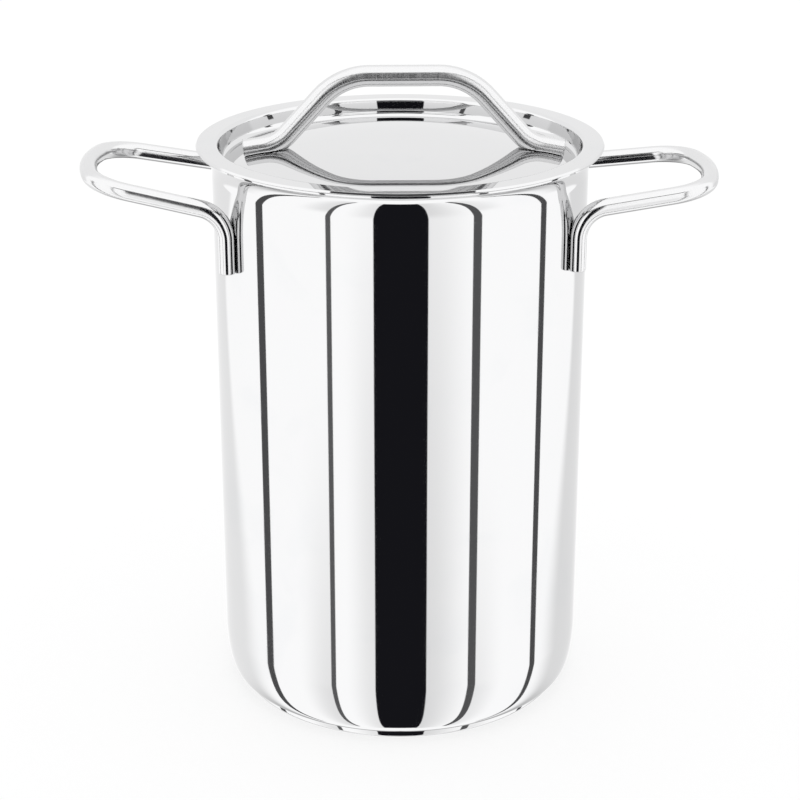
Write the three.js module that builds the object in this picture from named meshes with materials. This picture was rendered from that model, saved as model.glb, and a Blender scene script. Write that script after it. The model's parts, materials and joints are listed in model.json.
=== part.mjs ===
// Asparagus pot: a tall polished steel pot with a capsule base, two bent rod handles, a sunk lid with an
// arched rod handle, and a lift-out wire basket with two folding loops.
// Millimetres, +Z up. The origin is the middle of the base's underside, and the side handles lie along X.
import * as THREE from "three";

// Pot shell: a drawn can with a flared rim, drawn in a little at its foot.
const POT_BORE = 160;
const POT_SHEET = 1;
const RIM_HEIGHT = 248.8; // top of the rim, from the table
const FLARE_REACH = 5; // how far the flare turns out under the rim
const FLARE_HEIGHT = 10; // height over which it turns out
const RIM_REACH = 0.6; // from the flare out to the rim's edge
const FOOT_REACH = 3.9; // how far the foot is drawn in
const FOOT_HEIGHT = 22; // height over which it is drawn in

// Capsule base: an aluminium disc held in a thin steel cup.
const BASE_INSET = 2.6; // from the foot's flat edge in to the base's side
const BASE_HEIGHT = 4.1;
const BASE_SHEET = 0.6;
const BASE_EDGE_RADIUS = 0.9;
const BASE_SHOULDER_RADIUS = 1.6;

// Lid: a flange on the rim, a short wall inside the mouth, and a floor that is crowned in its middle.
const LID_OVERHANG = 0.9; // of the flange past the rim's edge
const LID_SHEET = 1;
const LID_DEPTH = 6.6; // from the flange down to the floor's foot
const LID_PLAY = 0.6; // between the lid's wall and the bore
const LID_LIP_RADIUS = 0.4;
const LID_FOOT_RADIUS = 3.6;
const LID_FLOOR_SLOPE = 11.3; // degrees, of the floor beside its foot

// Lid handle: one rod, arched over the lid, with its ends pressed flat on the lid's floor.
const LID_ROD = 9.1;
const LID_ROD_TOP = 32.2; // top of the arch, above the flange
const LID_ROD_INSET = 7; // from the floor's flat edge in to the rod's end
const LID_ROD_SHIFT = 1.7; // of the arch from the lid's middle, towards +X
const LID_ROD_FLAT = 54; // between the arch's upper corners
const LID_ROD_SPREAD = 107.9; // between its lower corners
const LID_ROD_PRESS = 2.9; // how far an end is pressed flat
const LID_TOP_BEND = 28;
const LID_FOOT_BEND = 18;

// Side handles: one rod each, a bow with two legs pressed on the wall. They are set by hand, and the left bow
// stands a little higher at its tip than the right one.
const HANDLE_ROD = 7.4;
const HANDLE_REACH = 53.9; // from the wall out to the middle of the bow's tip
const HANDLE_DROP = 19.9; // from the rim down to the bow's root
const HANDLE_TIP_WIDTH = 64.6; // between the bow's outer corners
const HANDLE_TIP_BOW = 6.7; // of the tip's middle past those corners
const HANDLE_LEG_ANGLE = 28.6; // degrees round the wall, from X to a leg
const HANDLE_LEG_LENGTH = 25.5;
const HANDLE_LEG_PRESS = 1.5; // how far a leg is pressed flat
const HANDLE_ROOT_BEND = 13;
const HANDLE_CORNER_BEND = 16;
const HANDLE_TIP_BEND = 58;
const HANDLE_RISE = { left: 12.1, right: 7.4 }; // from the root up to the tip's middle

// Basket: upright wires round the rings, a floor of parallel wires, and legs that stand on the pot's floor.
const BASKET_PLAY = 5.3; // between the uprights and the bore
const BASKET_HEADROOM = 48.8; // from the rim down to the top ring
const BASKET_LEG = 20; // from the pot's floor up to the bottom ring
const BASKET_WIRE = 3;
const TOP_WIRE = 4;
const FLOOR_WIRE = 2.6;
const MIDDLE_RINGS = 2;
const UPRIGHTS = 12;
const UPRIGHTS_PER_LEG = 3;
const FLOOR_WIRES = 7;

// Folding loops: a wire loop whose out-turned ends turn in two sleeves under the top ring.
const LOOP_WIRE = 3;
const LOOP_REACH = 38; // from the hinge line to the grip
const LOOP_WIDTH = 34; // between the legs
const LOOP_BEND = 10;
const LOOP_END_BEND = 3;
const SLEEVE_LENGTH = 7;
const SLEEVE_WALL = 0.75;
const PIN_PLAY = 0.35; // round a loop's end in its sleeve
const PIN_STUB = 0.8; // what stands out of the sleeve

// Gap left at a weld or a seat.
const SEAT = 0.3;

// Facets round the pot, rods, wires, sleeves and rings, and along bends, fillets and edges.
const TURN_STEPS = 56;
const ROD_SIDES = 16;
const WIRE_SIDES = 8;
const SLEEVE_SIDES = 12;
const RING_SIDES = 6;
const RING_STEPS = 40;
const BEND_STEPS = 6;
const WIRE_BEND_STEPS = 4;
const FOOT_STEPS = 6;
const FLARE_STEPS = 6;
const FILLET_STEPS = 4;
const CROWN_STEPS = 5;
const EDGE_STEPS = 3;

// Sizes that follow from those above.
const bore = POT_BORE / 2;
const wall = bore + POT_SHEET;
const rimEdge = wall + FLARE_REACH + RIM_REACH;
const footFlat = wall - FOOT_REACH;
const potFloor = BASE_HEIGHT + SEAT;
const potFloorTop = potFloor + POT_SHEET;
const flangeUnder = RIM_HEIGHT + SEAT;
const flangeTop = flangeUnder + LID_SHEET;
const lidFootTop = flangeTop - LID_DEPTH;
const lidWall = bore - LID_PLAY;
const lidFloorFlat = lidWall - LID_FOOT_RADIUS;

const UP = new THREE.Vector3(0, 0, 1);

function steel(color, roughness) {
  return new THREE.MeshStandardMaterial({ color, roughness, metalness: 1 });
}

const polishedSteel = () => steel(0xe2e3e5, 0.06);
const satinSteel = () => steel(0xc9cacc, 0.3);
const rolledAluminium = () => steel(0xb9babd, 0.45);

function add(group, name, geometry, material) {
  const mesh = new THREE.Mesh(geometry, material);
  mesh.name = name;
  group.add(mesh);
}

// Points of an elliptical arc in a section (x is the radius, y the height), angles in degrees.
function arc(x, y, rx, ry, from, to, steps) {
  return Array.from({ length: steps + 1 }, (_, i) => {
    const a = THREE.MathUtils.degToRad(from + ((to - from) * i) / steps);
    return new THREE.Vector2(x + rx * Math.cos(a), y + ry * Math.sin(a));
  });
}

const at = (x, y) => new THREE.Vector2(x, y);

// A section turned round the Z axis.
function revolve(section) {
  return new THREE.LatheGeometry(section, TURN_STEPS).rotateX(Math.PI / 2);
}

// A rod's route: straight runs between corners, with each corner rounded to its own bend radius.
function bentRoute(corners, bends, steps) {
  const ahead = corners.slice(1).map((p, i) => p.clone().sub(corners[i]).normalize());
  const route = [{ point: corners[0], along: ahead[0] }];
  bends.forEach((radius, i) => {
    const into = ahead[i];
    const out = ahead[i + 1];
    const turn = into.angleTo(out);
    const inward = out.clone().addScaledVector(into, -into.dot(out)).normalize();
    const start = corners[i + 1].clone().addScaledVector(into, -radius * Math.tan(turn / 2));
    for (let k = 0; k <= steps; k++) {
      const a = (turn * k) / steps;
      const point = start.clone();
      point.addScaledVector(into, radius * Math.sin(a)).addScaledVector(inward, radius * (1 - Math.cos(a)));
      const along = into.clone().multiplyScalar(Math.cos(a)).addScaledVector(inward, Math.sin(a));
      route.push({ point, along });
    }
  });
  route.push({ point: corners.at(-1), along: ahead.at(-1) });
  return route;
}

// A round rod along a route, closed by flat ends. normal is square to the route's start, and press may move a
// surface point onto the face that the rod is pressed against.
function rod(route, diameter, sides, normal, press = (p) => p) {
  const positions = [];
  const index = [];
  const across = normal.clone();
  route.forEach(({ point, along }, i) => {
    if (i > 0) {
      const turn = new THREE.Quaternion().setFromUnitVectors(route[i - 1].along, along);
      across.applyQuaternion(turn);
    }
    const beside = along.clone().cross(across);
    for (let k = 0; k < sides; k++) {
      const a = (2 * Math.PI * k) / sides;
      const p = point.clone().addScaledVector(across, (diameter / 2) * Math.cos(a));
      p.addScaledVector(beside, (diameter / 2) * Math.sin(a));
      positions.push(...press(p).toArray());
    }
  });
  for (let i = 0; i + 1 < route.length; i++) {
    for (let k = 0; k < sides; k++) {
      const a = i * sides + k;
      const b = i * sides + ((k + 1) % sides);
      index.push(a, b, b + sides, a, b + sides, a + sides);
    }
  }
  const first = route.length * sides;
  const lastRing = first - sides;
  positions.push(...route[0].point.toArray(), ...route.at(-1).point.toArray());
  for (let k = 0; k < sides; k++) {
    const next = (k + 1) % sides;
    index.push(first, next, k, first + 1, lastRing + k, lastRing + next);
  }
  const geometry = new THREE.BufferGeometry();
  geometry.setAttribute("position", new THREE.Float32BufferAttribute(positions, 3));
  geometry.setIndex(index);
  geometry.computeVertexNormals();
  return geometry;
}

// A straight wire between two points.
function wire(from, to, diameter) {
  const length = from.distanceTo(to);
  const geometry = new THREE.CylinderGeometry(diameter / 2, diameter / 2, length, WIRE_SIDES);
  const along = to.clone().sub(from).normalize();
  geometry.applyQuaternion(new THREE.Quaternion().setFromUnitVectors(new THREE.Vector3(0, 1, 0), along));
  return geometry.translate(...from.clone().add(to).divideScalar(2).toArray());
}

function potShell() {
  const flareX = wall + FLARE_REACH;
  const flareY = RIM_HEIGHT - POT_SHEET - FLARE_HEIGHT;
  const footY = potFloor + FOOT_HEIGHT;
  const half = POT_SHEET / 2;
  return revolve([
    at(0, potFloor),
    ...arc(footFlat, footY, FOOT_REACH, FOOT_HEIGHT, -90, 0, FOOT_STEPS),
    ...arc(flareX, flareY, FLARE_REACH, FLARE_HEIGHT, 180, 90, FLARE_STEPS),
    ...arc(rimEdge - half, RIM_HEIGHT - half, half, half, -90, 90, EDGE_STEPS),
    ...arc(flareX, flareY, FLARE_REACH + POT_SHEET, FLARE_HEIGHT + POT_SHEET, 90, 180, FLARE_STEPS),
    ...arc(footFlat, footY, FOOT_REACH - POT_SHEET, FOOT_HEIGHT - POT_SHEET, 0, -90, FOOT_STEPS),
    at(0, potFloorTop),
  ]);
}

const baseRadius = footFlat - BASE_INSET;
const shoulderX = baseRadius - BASE_SHOULDER_RADIUS;
const shoulderY = BASE_HEIGHT - BASE_SHOULDER_RADIUS;

// The cup's lip is drawn in over the edge of the disc.
function baseCapsule() {
  const edgeX = baseRadius - BASE_EDGE_RADIUS;
  const innerEdge = BASE_EDGE_RADIUS - BASE_SHEET;
  const innerShoulder = BASE_SHOULDER_RADIUS - BASE_SHEET;
  return revolve([
    at(0, 0),
    ...arc(edgeX, BASE_EDGE_RADIUS, BASE_EDGE_RADIUS, BASE_EDGE_RADIUS, -90, 0, EDGE_STEPS),
    ...arc(shoulderX, shoulderY, BASE_SHOULDER_RADIUS, BASE_SHOULDER_RADIUS, 0, 90, EDGE_STEPS),
    ...arc(shoulderX, shoulderY, innerShoulder, innerShoulder, 90, 0, EDGE_STEPS),
    ...arc(edgeX, BASE_EDGE_RADIUS, innerEdge, innerEdge, 0, -90, EDGE_STEPS),
    at(0, BASE_SHEET),
  ]);
}

function baseCoreDisc() {
  const edge = BASE_SHOULDER_RADIUS - BASE_SHEET - SEAT;
  const land = shoulderX - SEAT;
  return revolve([
    at(0, BASE_SHEET + SEAT),
    at(shoulderX + edge, BASE_SHEET + SEAT),
    ...arc(shoulderX, shoulderY, edge, edge, 0, 90, EDGE_STEPS),
    at(land, shoulderY + edge),
    at(land, BASE_HEIGHT),
    at(0, BASE_HEIGHT),
  ]);
}

// side is 1 for the handle on +X and -1 for the one on -X.
function sideHandle(side, rise) {
  const legAngle = THREE.MathUtils.degToRad(HANDLE_LEG_ANGLE);
  const seat = wall + SEAT;
  const axis = seat + HANDLE_ROD / 2 - HANDLE_LEG_PRESS;
  const rootX = axis * Math.cos(legAngle);
  const rootY = axis * Math.sin(legAngle);
  const rootZ = RIM_HEIGHT - HANDLE_DROP;
  const tipX = wall + HANDLE_REACH;
  const cornerX = tipX - HANDLE_TIP_BOW;
  const cornerRise = (rise * (cornerX - rootX)) / (tipX - rootX);
  const half = [
    [rootX, rootY, rootZ - HANDLE_LEG_LENGTH],
    [rootX, rootY, rootZ],
    [cornerX, HANDLE_TIP_WIDTH / 2, rootZ + cornerRise],
  ].map(([x, y, z]) => new THREE.Vector3(side * x, y, z));
  const tip = new THREE.Vector3(side * tipX, 0, rootZ + rise);
  const mirrored = half.map((p) => new THREE.Vector3(p.x, -p.y, p.z)).reverse();
  const halfBends = [HANDLE_ROOT_BEND, HANDLE_CORNER_BEND];
  const bends = [...halfBends, HANDLE_TIP_BEND, ...halfBends.toReversed()];
  const inward = half[1].clone().sub(half[2]).setZ(0).normalize();
  const ontoWall = (p) => {
    const radius = Math.hypot(p.x, p.y);
    return radius < seat ? p.set((p.x * seat) / radius, (p.y * seat) / radius, p.z) : p;
  };
  const route = bentRoute([...half, tip, ...mirrored], bends, BEND_STEPS);
  return rod(route, HANDLE_ROD, ROD_SIDES, inward, ontoWall);
}

// The lid's floor rises from its foot to the middle, and its slope grows with the square of the radius.
const innerFoot = LID_FOOT_RADIUS - LID_SHEET;
const footSlope = THREE.MathUtils.degToRad(LID_FLOOR_SLOPE);
const floorReach = lidFloorFlat - innerFoot * Math.sin(footSlope);
const floorEdge = lidFootTop + innerFoot * (1 - Math.cos(footSlope));
const floorCrown = (floorReach * Math.tan(footSlope)) / 3;
const lidFloorHeight = (radius) => floorEdge + floorCrown * (1 - (radius / floorReach) ** 3);

// Points of the floor from the middle to its edge, at a depth below its upper face.
function lidFloor(depth) {
  return Array.from({ length: CROWN_STEPS }, (_, i) => {
    const share = i / CROWN_STEPS;
    const radius = floorReach * share;
    const slope = Math.atan(Math.tan(footSlope) * share ** 2);
    return at(radius - depth * Math.sin(slope), lidFloorHeight(radius) - depth * Math.cos(slope));
  });
}

function lidPan() {
  const edge = rimEdge + LID_OVERHANG;
  const lipX = lidWall + LID_LIP_RADIUS;
  const lipY = flangeUnder - LID_LIP_RADIUS;
  const footY = lidFootTop + innerFoot;
  const footStart = -90 - LID_FLOOR_SLOPE;
  const outerLip = LID_LIP_RADIUS + LID_SHEET;
  const half = LID_SHEET / 2;
  return revolve([
    ...lidFloor(LID_SHEET),
    ...arc(lidFloorFlat, footY, LID_FOOT_RADIUS, LID_FOOT_RADIUS, footStart, 0, FILLET_STEPS),
    ...arc(lipX, lipY, LID_LIP_RADIUS, LID_LIP_RADIUS, 180, 90, EDGE_STEPS),
    ...arc(edge - half, flangeTop - half, half, half, -90, 90, EDGE_STEPS),
    ...arc(lipX, lipY, outerLip, outerLip, 90, 180, EDGE_STEPS),
    ...arc(lidFloorFlat, footY, innerFoot, innerFoot, 0, footStart, FILLET_STEPS),
    ...lidFloor(0).reverse(),
  ]);
}

function lidHandle() {
  const seat = (radius) => lidFloorHeight(radius) + SEAT;
  const lying = (x) => seat(Math.abs(x)) + LID_ROD / 2 - LID_ROD_PRESS;
  const corner = (x, z) => new THREE.Vector3(x, 0, z ?? lying(x));
  const endX = lidFloorFlat - LID_ROD_INSET;
  const footX = LID_ROD_SPREAD / 2;
  const archX = LID_ROD_FLAT / 2;
  const archZ = flangeTop + LID_ROD_TOP - LID_ROD / 2;
  const corners = [
    corner(LID_ROD_SHIFT - endX),
    corner(LID_ROD_SHIFT - footX),
    corner(LID_ROD_SHIFT - archX, archZ),
    corner(LID_ROD_SHIFT + archX, archZ),
    corner(LID_ROD_SHIFT + footX),
    corner(LID_ROD_SHIFT + endX),
  ];
  const bends = [LID_FOOT_BEND, LID_TOP_BEND, LID_TOP_BEND, LID_FOOT_BEND];
  const ontoFloor = (p) => p.setZ(Math.max(p.z, seat(Math.hypot(p.x, p.y))));
  const normal = corners[1].clone().sub(corners[0]).cross(new THREE.Vector3(0, 1, 0)).normalize();
  return rod(bentRoute(corners, bends, BEND_STEPS), LID_ROD, ROD_SIDES, normal, ontoFloor);
}

// Basket sizes: the uprights stand outside the rings, and every ring's outer side is at the same radius.
const uprightRadius = bore - BASKET_PLAY - BASKET_WIRE / 2;
const ringOutside = uprightRadius - BASKET_WIRE / 2 - SEAT;
const ringRadius = ringOutside - BASKET_WIRE / 2;
const topRingRadius = ringOutside - TOP_WIRE / 2;
const bottomRingZ = potFloorTop + SEAT + BASKET_LEG;
const topRingZ = RIM_HEIGHT - BASKET_HEADROOM;

function basketFrame() {
  const frame = new THREE.Group();
  const ring = (name, radius, diameter, z) => {
    const geometry = new THREE.TorusGeometry(radius, diameter / 2, RING_SIDES, RING_STEPS);
    add(frame, name, geometry.translate(0, 0, z), satinSteel());
  };
  ring("basket_bottom_ring", ringRadius, BASKET_WIRE, bottomRingZ);
  for (let i = 1; i <= MIDDLE_RINGS; i++) {
    const z = bottomRingZ + ((topRingZ - bottomRingZ) * i) / (MIDDLE_RINGS + 1);
    ring(`basket_middle_ring_${i}`, ringRadius, BASKET_WIRE, z);
  }
  ring("basket_top_ring", topRingRadius, TOP_WIRE, topRingZ);

  // Half a step of turn keeps the uprights clear of the loops' middles. Some of the uprights go on as legs.
  for (let i = 0; i < UPRIGHTS; i++) {
    const angle = ((i + 0.5) * 2 * Math.PI) / UPRIGHTS;
    const leg = i % UPRIGHTS_PER_LEG === 1;
    const foot = leg ? potFloorTop + SEAT : bottomRingZ - BASKET_WIRE / 2;
    const x = uprightRadius * Math.cos(angle);
    const y = uprightRadius * Math.sin(angle);
    const top = new THREE.Vector3(x, y, topRingZ + TOP_WIRE / 2);
    const name = leg ? "basket_leg" : "basket_upright";
    add(frame, `${name}_${i + 1}`, wire(new THREE.Vector3(x, y, foot), top, BASKET_WIRE), satinSteel());
  }

  const floorZ = bottomRingZ + BASKET_WIRE / 2 + SEAT + FLOOR_WIRE / 2;
  const pitch = (2 * ringRadius) / (FLOOR_WIRES + 1);
  for (let i = 0; i < FLOOR_WIRES; i++) {
    const y = pitch * (i + 1) - ringRadius;
    const x = Math.sqrt(ringRadius ** 2 - y ** 2);
    const ends = [new THREE.Vector3(-x, y, floorZ), new THREE.Vector3(x, y, floorZ)];
    add(frame, `basket_floor_wire_${i + 1}`, wire(...ends, FLOOR_WIRE), satinSteel());
  }
  const tie = ringRadius - BASKET_WIRE / 2 - SEAT;
  const tieEnds = [new THREE.Vector3(0, -tie, bottomRingZ), new THREE.Vector3(0, tie, bottomRingZ)];
  add(frame, "basket_floor_tie", wire(...tieEnds, BASKET_WIRE), satinSteel());
  return frame;
}

// Hinge sizes: the upright loop's legs just clear the inside of the top ring.
const loopLegY = LOOP_WIDTH / 2;
const sleeveBore = LOOP_WIRE / 2 + PIN_PLAY;
const sleeveOutside = sleeveBore + SLEEVE_WALL;
const hingeX = Math.sqrt((topRingRadius - TOP_WIRE / 2) ** 2 - loopLegY ** 2) - LOOP_WIRE / 2 - SEAT;
const hingeZ = topRingZ - TOP_WIRE / 2 - SEAT - sleeveOutside;
const sleeveStart = loopLegY + LOOP_END_BEND + SEAT;

// A loop and its two sleeves, in a group whose Y axis is the hinge line. The loop hangs down at rest.
function foldingLoop(name, side) {
  const hinge = new THREE.Group();
  hinge.position.set(side * hingeX, 0, hingeZ);
  for (const [end, y] of [["front", -1], ["back", 1]]) {
    const sleeve = new THREE.LatheGeometry(
      [
        at(sleeveBore, 0),
        at(sleeveOutside, 0),
        at(sleeveOutside, SLEEVE_LENGTH),
        at(sleeveBore, SLEEVE_LENGTH),
        at(sleeveBore, 0),
      ],
      SLEEVE_SIDES,
    ).translate(0, y > 0 ? sleeveStart : -sleeveStart - SLEEVE_LENGTH, 0);
    add(hinge, `${name}_sleeve_${end}`, sleeve, satinSteel());
  }
  const half = [
    [sleeveStart + SLEEVE_LENGTH + PIN_STUB, 0],
    [loopLegY, 0],
    [loopLegY, -LOOP_REACH],
  ];
  const corners = [
    ...half.map(([y, z]) => new THREE.Vector3(0, -y, z)),
    ...half.map(([y, z]) => new THREE.Vector3(0, y, z)).reverse(),
  ];
  const bends = [LOOP_END_BEND, LOOP_BEND, LOOP_BEND, LOOP_END_BEND];
  add(hinge, name, rod(bentRoute(corners, bends, WIRE_BEND_STEPS), LOOP_WIRE, WIRE_SIDES, UP), satinSteel());
  return hinge;
}

const asparagusPot = new THREE.Group();
add(asparagusPot, "pot_shell", potShell(), polishedSteel());
add(asparagusPot, "base_capsule", baseCapsule(), polishedSteel());
add(asparagusPot, "base_core_disc", baseCoreDisc(), rolledAluminium());
add(asparagusPot, "left_handle", sideHandle(-1, HANDLE_RISE.left), polishedSteel());
add(asparagusPot, "right_handle", sideHandle(1, HANDLE_RISE.right), polishedSteel());
add(asparagusPot, "lid_pan", lidPan(), polishedSteel());
add(asparagusPot, "lid_handle", lidHandle(), polishedSteel());
asparagusPot.add(basketFrame());
asparagusPot.add(foldingLoop("left_loop", -1));
asparagusPot.add(foldingLoop("right_loop", 1));

export default asparagusPot;
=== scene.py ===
# %% [markdown]
# # A polished asparagus pot
# A tall steel pot with a sunk lid, three handles of bent rod, a capsule base and a lift-out wire basket.
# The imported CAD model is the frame: it fixes every size and every joint, and nothing here may move it.
# This lesson makes the finely rounded pieces that stand in for its faceted solids, and then their finishes.

# %% Load the frame
import json
import math

import bmesh
import bpy
import numpy as np
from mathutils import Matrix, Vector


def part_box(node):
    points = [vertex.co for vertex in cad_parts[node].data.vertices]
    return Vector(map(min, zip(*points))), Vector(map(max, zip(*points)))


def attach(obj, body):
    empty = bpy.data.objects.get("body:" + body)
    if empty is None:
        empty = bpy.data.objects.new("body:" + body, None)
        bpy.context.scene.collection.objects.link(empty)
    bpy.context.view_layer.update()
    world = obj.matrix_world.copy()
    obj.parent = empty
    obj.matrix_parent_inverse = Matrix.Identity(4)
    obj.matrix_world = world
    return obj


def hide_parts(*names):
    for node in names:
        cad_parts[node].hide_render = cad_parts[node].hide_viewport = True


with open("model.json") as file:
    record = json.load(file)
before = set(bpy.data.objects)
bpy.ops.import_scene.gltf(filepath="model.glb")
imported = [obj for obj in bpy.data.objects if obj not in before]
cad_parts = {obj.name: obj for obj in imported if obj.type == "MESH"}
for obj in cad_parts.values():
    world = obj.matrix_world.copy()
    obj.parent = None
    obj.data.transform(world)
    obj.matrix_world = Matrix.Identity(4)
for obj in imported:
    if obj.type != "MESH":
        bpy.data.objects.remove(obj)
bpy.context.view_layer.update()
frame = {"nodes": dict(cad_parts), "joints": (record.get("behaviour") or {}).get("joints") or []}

MM = 0.001
scene = bpy.context.scene
scene.view_settings.view_transform = "Standard"

# %% [markdown]
# ## The camera
# The pot was photographed from a little above, with a long lens, so its wall hardly tapers in the picture.
# A camera can be placed by eye, or worked out from ellipses that are known to be circles, such as a rim, a
# lid and a base. The second way was used here. The handles show that the pot stood turned by a degree and a
# half, and since the frame may not turn, the camera goes round it by that angle instead.

# %% Camera
CAMERA_DISTANCE = 857.3 * MM
CAMERA_HEIGHT = 464.1 * MM
CAMERA_TURN = -1.6
CAMERA_TILT = 68.712
CAMERA_LENS = 91.93
CAMERA_SENSOR = 36

turn = math.radians(CAMERA_TURN)
camera = bpy.data.objects.new("camera", bpy.data.cameras.new("camera"))
camera.location = (CAMERA_DISTANCE * math.sin(turn), -CAMERA_DISTANCE * math.cos(turn), CAMERA_HEIGHT)
camera.rotation_euler = (math.radians(CAMERA_TILT), 0, turn)
camera.data.lens = CAMERA_LENS
camera.data.sensor_width = CAMERA_SENSOR
scene.collection.objects.link(camera)
scene.camera = camera
print("camera at", [round(x, 3) for x in camera.location], "with a lens of", round(camera.data.lens), "mm")

# %% [markdown]
# ## From a grid of points to a piece
# Every new piece is a grid: rows along a section or a path, and columns that go round. The faces follow
# from the grid's two lengths alone, so one helper serves all the pieces, and a third length makes many
# copies at once. Rows that shrink to one point make a pole or a flat end, and merging equal points closes
# it. Sharp edges are marked by angle, so rounds stay smooth.

# %% Mesh helpers
SHARP = math.radians(32)
MERGE = 1e-7
UV_NAME = "along_and_round"


def quads(rows, around, looped):
    """Corners of each quad, as row and column numbers: quad (i, j) joins columns j and j + 1 of row i to
    the same columns of row i + 1. Columns close on themselves, and rows do too if looped."""
    i, j = np.meshgrid(np.arange(rows if looped else rows - 1), np.arange(around), indexing="ij")
    row = np.stack([i, i, i + 1, i + 1], axis=-1).reshape(-1, 4)
    column = np.stack([j, j + 1, j + 1, j], axis=-1).reshape(-1, 4)
    return row, column


def make_mesh(name, grid, looped=False, finish=None):
    """A mesh from a grid of shape (rows, around, 3), or from many as (copies, rows, around, 3). Its UV map
    holds, in metres, the mean length along the rows and the length round the widest row, so that a pattern
    can follow the piece. finish gives the material number of each row of faces."""
    copies = grid if grid.ndim == 4 else grid[None]
    count, rows, around, _ = copies.shape
    row, column = quads(rows, around, looped)
    corners = (row % rows) * around + column % around
    corners = corners + rows * around * np.arange(count)[:, None, None]
    mesh = bpy.data.meshes.new(name)
    mesh.from_pydata(copies.reshape(-1, 3).tolist(), [], corners.reshape(-1, 4).tolist())
    first = copies[0]
    steps = np.linalg.norm(np.diff(first, axis=0, append=first[:1]), axis=2).mean(axis=1)
    along = np.concatenate([[0], np.cumsum(steps)])
    girth = np.linalg.norm(first - np.roll(first, 1, axis=1), axis=2).sum(axis=1).max()
    uv = np.stack([along[row], column * girth / around], axis=-1).astype(np.float32)
    mesh.uv_layers.new(name=UV_NAME).data.foreach_set("uv", np.tile(uv.ravel(), count))
    if finish is not None:
        mesh.polygons.foreach_set("material_index", np.repeat(finish, around).astype(np.int32))
    tidy = bmesh.new()
    tidy.from_mesh(mesh)
    bmesh.ops.remove_doubles(tidy, verts=tidy.verts, dist=MERGE)
    bmesh.ops.recalc_face_normals(tidy, faces=tidy.faces)
    tidy.to_mesh(mesh)
    tidy.free()
    mesh.shade_smooth()
    mesh.set_sharp_from_angle(angle=SHARP)
    return mesh


def make_piece(name, mesh, body, slot, *nodes):
    """An object for the mesh, which rides on a CAD body and stands for CAD nodes. Its slot is not used."""
    piece = bpy.data.objects.new(name, mesh)
    scene.collection.objects.link(piece)
    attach(piece, body)
    if nodes:
        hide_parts(*nodes)
    print(name, "has", len(mesh.polygons), "faces and rides on", body)
    return piece


# %% [markdown]
# ## Turned pieces: shell, base and lid
# The shell is drawn from one disc of steel, and so is the lid. Each is a section turned round the pot's
# axis. A spin or a lathe tool could make it. As a formula it is one line, and the section's arcs can be as
# fine as a mirror finish needs: on polished steel every flat facet would show as a break in the reflection.

# %% Section helpers
AROUND = 192
ARC_STEPS = 16


def arc(x, y, rx, ry, start, end, steps=ARC_STEPS):
    """Points of an elliptical arc in a section: (x + rx cos a, y + ry sin a), with a from start to end in
    degrees."""
    a = np.radians(np.linspace(start, end, steps + 1))
    return np.stack([x + rx * np.cos(a), y + ry * np.sin(a)], axis=-1)


def run(start, end, steps):
    """Points of a straight run, closest together at its two ends: the share walked is (1 - cos t) / 2."""
    share = (1 - np.cos(np.linspace(0, np.pi, steps + 1))) / 2
    return np.outer(1 - share, start) + np.outer(share, end)


def turned(section, around=AROUND):
    """A section (radius, height) turned round Z: the point at turn a is (radius cos a, radius sin a,
    height)."""
    a = np.linspace(0, 2 * np.pi, around, endpoint=False)
    radius, height = section[:, :1], section[:, 1:]
    return np.stack([radius * np.cos(a), radius * np.sin(a), height + 0 * a], axis=-1)


def two_finishes(polished, satin):
    """Material number of each row of faces, 0 on the polished rows of a section and 1 on the satin rows."""
    return np.concatenate([np.zeros(len(polished)), np.ones(len(satin) - 1)])


# %% Pot shell
SHEET = 1.0 * MM
WALL = 81.0 * MM
FLARE_REACH = 5.0 * MM
FLARE_HEIGHT = 10.0 * MM
FOOT_REACH = 3.9 * MM
FOOT_HEIGHT = 22.0 * MM
RIM_EASE = 0.2 * MM

shell_low, shell_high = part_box("pot_shell")
rim, rim_top, shell_floor = shell_high.x, shell_high.z, shell_low.z
flare_x, flare_y = WALL + FLARE_REACH, rim_top - SHEET - FLARE_HEIGHT
foot_x, foot_y = WALL - FOOT_REACH, shell_floor + FOOT_HEIGHT
outside = np.vstack([
    run((0, shell_floor), (foot_x, shell_floor), 12),
    arc(foot_x, foot_y, FOOT_REACH, FOOT_HEIGHT, -90, 0, 48),
    run((WALL, foot_y), (WALL, flare_y), 40),
    arc(flare_x, flare_y, FLARE_REACH, FLARE_HEIGHT, 180, 90, 40),
    arc(rim - RIM_EASE, rim_top - SHEET + RIM_EASE, RIM_EASE, RIM_EASE, -90, 0, 6),
    run((rim, rim_top - SHEET + RIM_EASE), (rim, rim_top - RIM_EASE), 4)[1:-1],
    arc(rim - RIM_EASE, rim_top - RIM_EASE, RIM_EASE, RIM_EASE, 0, 90, 6),
    arc(flare_x, flare_y, FLARE_REACH + SHEET, FLARE_HEIGHT + SHEET, 90, 180, 40),
])
inside = np.vstack([
    run((WALL - SHEET, flare_y), (WALL - SHEET, foot_y), 40),
    arc(foot_x, foot_y, FOOT_REACH - SHEET, FOOT_HEIGHT - SHEET, 0, -90, 48),
    run((foot_x, shell_floor + SHEET), (0, shell_floor + SHEET), 12),
])
shell_mesh = make_mesh("polished_pot_shell", turned(np.vstack([outside, inside])),
                       finish=two_finishes(outside, inside))
pot_shell = make_piece("polished_pot_shell", shell_mesh, "pot", "polished_steel", "pot_shell")

# %% [markdown]
# ## Capsule base
# A thick aluminium disc spreads the heat. A thin steel cup is pressed over it, and its lip is turned in
# under the pot, which leaves the bright ring and the narrow shadow gap that show at the foot of the body.
# Only the cup shows, so only the cup is made anew. The disc stays as the CAD has it.

# %% Base capsule
CUP_SHEET = 0.6 * MM
CUP_EDGE = 0.9 * MM
CUP_SHOULDER = 1.6 * MM

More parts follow.
